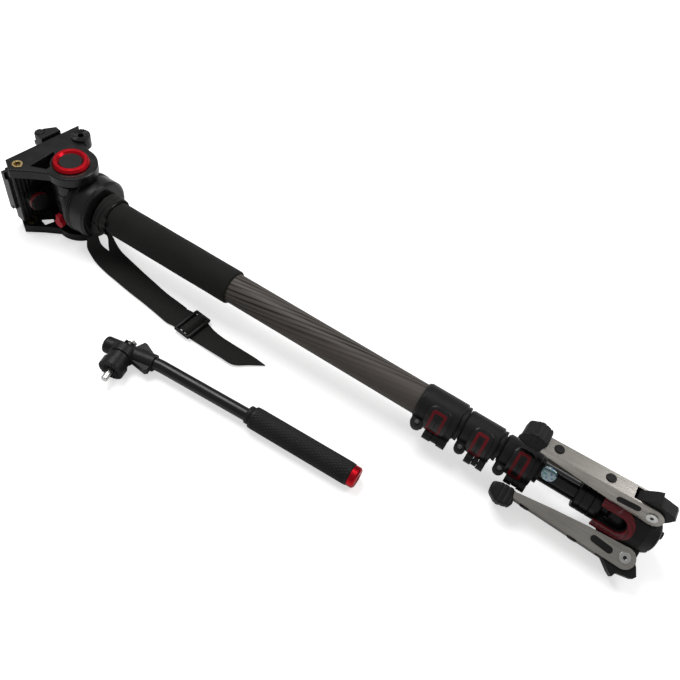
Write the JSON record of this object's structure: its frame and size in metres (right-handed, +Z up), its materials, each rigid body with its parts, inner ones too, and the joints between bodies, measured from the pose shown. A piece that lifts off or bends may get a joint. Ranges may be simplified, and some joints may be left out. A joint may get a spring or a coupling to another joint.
{
  "type": "camera monopod",
  "caption": "Folded four-section carbon camera monopod with tilting head, flip locks, ball base with folding legs, wrist strap and detached pan handle",
  "frame": {"origin": "on the ground below the middle of the whole set, as it lies", "axes": "+X along the column from head to base, +Y away from the detached handle, +Z up"},
  "size_m": [0.6928, 0.1868, 0.089],
  "materials": {
    "black_cast": "cast, satin black paint",
    "black_plastic": "fine matte",
    "carbon": "satin lacquer over fine weave",
    "foam": "matte foam",
    "rubber": "matte",
    "aluminium": "fine brushed",
    "steel": "bright",
    "brass": "turned",
    "red_anodised": "satin red anodised",
    "dark_red": "smooth",
    "webbing": "woven"
  },
  "bodies": {
    "upper_tube": {"pan_base": "black_cast", "pan_ring": "black_cast", "neck_collar": "black_cast", "head_stud": "steel", "foam_grip": "foam", "tube_1": "carbon", "lock_1_collar": "black_plastic", "lock_1_bolt": "steel", "wrist_strap": "webbing", "strap_buckle": "black_plastic"},
    "pan_head": {"head_body": "black_cast"},
    "tilt_head": {"tilt_shaft": "steel", "cheek_upper": "black_cast", "cheek_lower": "black_cast", "dial_ring": "red_anodised", "hub_disc": "black_cast", "accessory_bushes": "brass", "bridge": "black_cast"},
    "plate": {"quick_plate": "black_cast"},
    "plate_screw": {"camera_screw": "steel"},
    "plate_lock": {"plate_lever": "black_plastic"},
    "drag_knob": {"red_knob": "black_plastic"},
    "tilt_lock_knob": {"tilt_lock": "dark_red"},
    "section_2": {"tube_2": "carbon", "guide_bush_2": "black_plastic", "lock_2_collar": "black_plastic", "lock_2_bolt": "steel"},
    "section_3": {"tube_3": "carbon", "guide_bush_3": "black_plastic", "lock_3_collar": "black_plastic", "lock_3_bolt": "steel"},
    "section_4": {"tube_4": "carbon", "guide_bush_4": "black_plastic", "base_socket": "black_cast"},
    "lever_1": {"lock_1_lever": "black_plastic"},
    "lever_2": {"lock_2_lever": "black_plastic"},
    "lever_3": {"lock_3_lever": "black_plastic"},
    "swivel": {"swivel_ring": "black_cast", "ball_stem": "black_cast"},
    "hub": {"hub_housing": "black_plastic", "horseshoe": "dark_red", "hub_cap": "black_plastic", "leg_pins": "steel", "leg_1_catch": "black_plastic", "leg_2_catch": "black_plastic", "leg_3_catch": "black_plastic"},
    "handle": {"handle_rod": "black_cast", "handle_grip": "rubber", "handle_cap": "red_anodised", "handle_knuckle": "black_plastic"},
    "handle_clamp": {"handle_screw": "steel"},
    "leg_1": {"leg_1_channel": "aluminium", "leg_1_foot": "rubber", "leg_1_trim": "black_plastic"},
    "leg_2": {"leg_2_channel": "aluminium", "leg_2_foot": "rubber", "leg_2_trim": "black_plastic"},
    "leg_3": {"leg_3_channel": "aluminium", "leg_3_foot": "rubber", "leg_3_trim": "black_plastic"}
  },
  "joints": [
    {"name": "head_pan", "type": "hinge", "parent": "upper_tube", "child": "pan_head", "pos_m": [-0.28767, 0.0465, 0.04249], "axis": [0.9999, 0.0002, -0.0171], "continuous": true},
    {"name": "head_tilt", "type": "hinge", "parent": "pan_head", "child": "tilt_head", "pos_m": [-0.28767, 0.0465, 0.04249], "axis": [0.0171, -0.0105, 0.9998], "range_deg": [-70, 40]},
    {"name": "plate_slide", "type": "slide", "parent": "tilt_head", "child": "plate", "axis": [-0.1702, -0.9854, -0.0074], "range_m": [-0.025, 0.025]},
    {"name": "camera_screw_turn", "type": "hinge", "parent": "plate", "child": "plate_screw", "pos_m": [-0.32949, 0.05369, 0.04628], "axis": [-0.9853, 0.17, 0.0186], "continuous": true},
    {"name": "plate_lock_turn", "type": "hinge", "parent": "tilt_head", "child": "plate_lock", "pos_m": [-0.34007, 0.05845, 0.08752], "axis": [0.0171, -0.0105, 0.9998], "range_deg": [0, 60]},
    {"name": "drag_knob_turn", "type": "hinge", "parent": "tilt_head", "child": "drag_knob", "pos_m": [-0.30893, 0.01772, 0.03955], "axis": [-0.9853, 0.17, 0.0186], "continuous": true},
    {"name": "tilt_lock_turn", "type": "hinge", "parent": "pan_head", "child": "tilt_lock_knob", "pos_m": [-0.289, 0.0179, 0.02271], "axis": [0, -0.9999, -0.0105], "range_deg": [0, 90]},
    {"name": "section_2_slide", "type": "slide", "parent": "upper_tube", "child": "section_2", "axis": [0.9999, 0.0002, -0.0171], "range_m": [0, 0.2768]},
    {"name": "lock_1_flip", "type": "hinge", "parent": "upper_tube", "child": "lever_1", "pos_m": [0.11908, 0.02541, 0.02399], "axis": [0.9999, 0.0002, -0.0171], "range_deg": [0, 120]},
    {"name": "section_3_slide", "type": "slide", "parent": "section_2", "child": "section_3", "axis": [0.9999, 0.0002, -0.0171], "range_m": [0, 0.308]},
    {"name": "lock_2_flip", "type": "hinge", "parent": "section_2", "child": "lever_2", "pos_m": [0.16328, 0.02638, 0.02376], "axis": [0.9999, 0.0002, -0.0171], "range_deg": [0, 120]},
    {"name": "section_4_slide", "type": "slide", "parent": "section_3", "child": "section_4", "axis": [0.9999, 0.0002, -0.0171], "range_m": [0, 0.3356]},
    {"name": "lock_3_flip", "type": "hinge", "parent": "section_3", "child": "lever_3", "pos_m": [0.2005, 0.02893, 0.02451], "axis": [0.9999, 0.0002, -0.0171], "range_deg": [0, 55]},
    {"name": "base_swivel", "type": "hinge", "parent": "section_4", "child": "swivel", "pos_m": [0.28525, 0.0466, 0.03269], "axis": [0.9999, 0.0002, -0.0171], "continuous": true},
    {"name": "base_lean", "type": "hinge", "parent": "swivel", "child": "hub", "pos_m": [0.30975, 0.0466, 0.03227], "axis": [0.0157, -0.4115, 0.9113], "range_deg": [0, 25]},
    {"name": "leg_1_fold", "type": "hinge", "parent": "hub", "child": "leg_1", "pos_m": [0.32793, 0.04943, 0.06022], "axis": [-0.0019, 0.9951, -0.0993], "range_deg": [0, 95]},
    {"name": "leg_2_fold", "type": "hinge", "parent": "hub", "child": "leg_2", "pos_m": [0.32725, 0.02072, 0.02028], "axis": [0.0157, -0.4115, 0.9113], "range_deg": [0, 95]},
    {"name": "leg_3_fold", "type": "hinge", "parent": "hub", "child": "leg_3", "pos_m": [0.32716, 0.06967, 0.0154], "axis": [-0.0138, -0.5835, -0.812], "range_deg": [0, 95]},
    {"name": "handle_lift", "type": "slide", "parent": "upper_tube", "child": "handle", "axis": [0, 0, 1], "range_m": [0, 0.25]},
    {"name": "handle_clamp_turn", "type": "hinge", "parent": "handle", "child": "handle_clamp", "pos_m": [-0.13478, -0.05738, 0.0122], "axis": [0.1915, -0.9815, 0], "continuous": true}
  ]
}
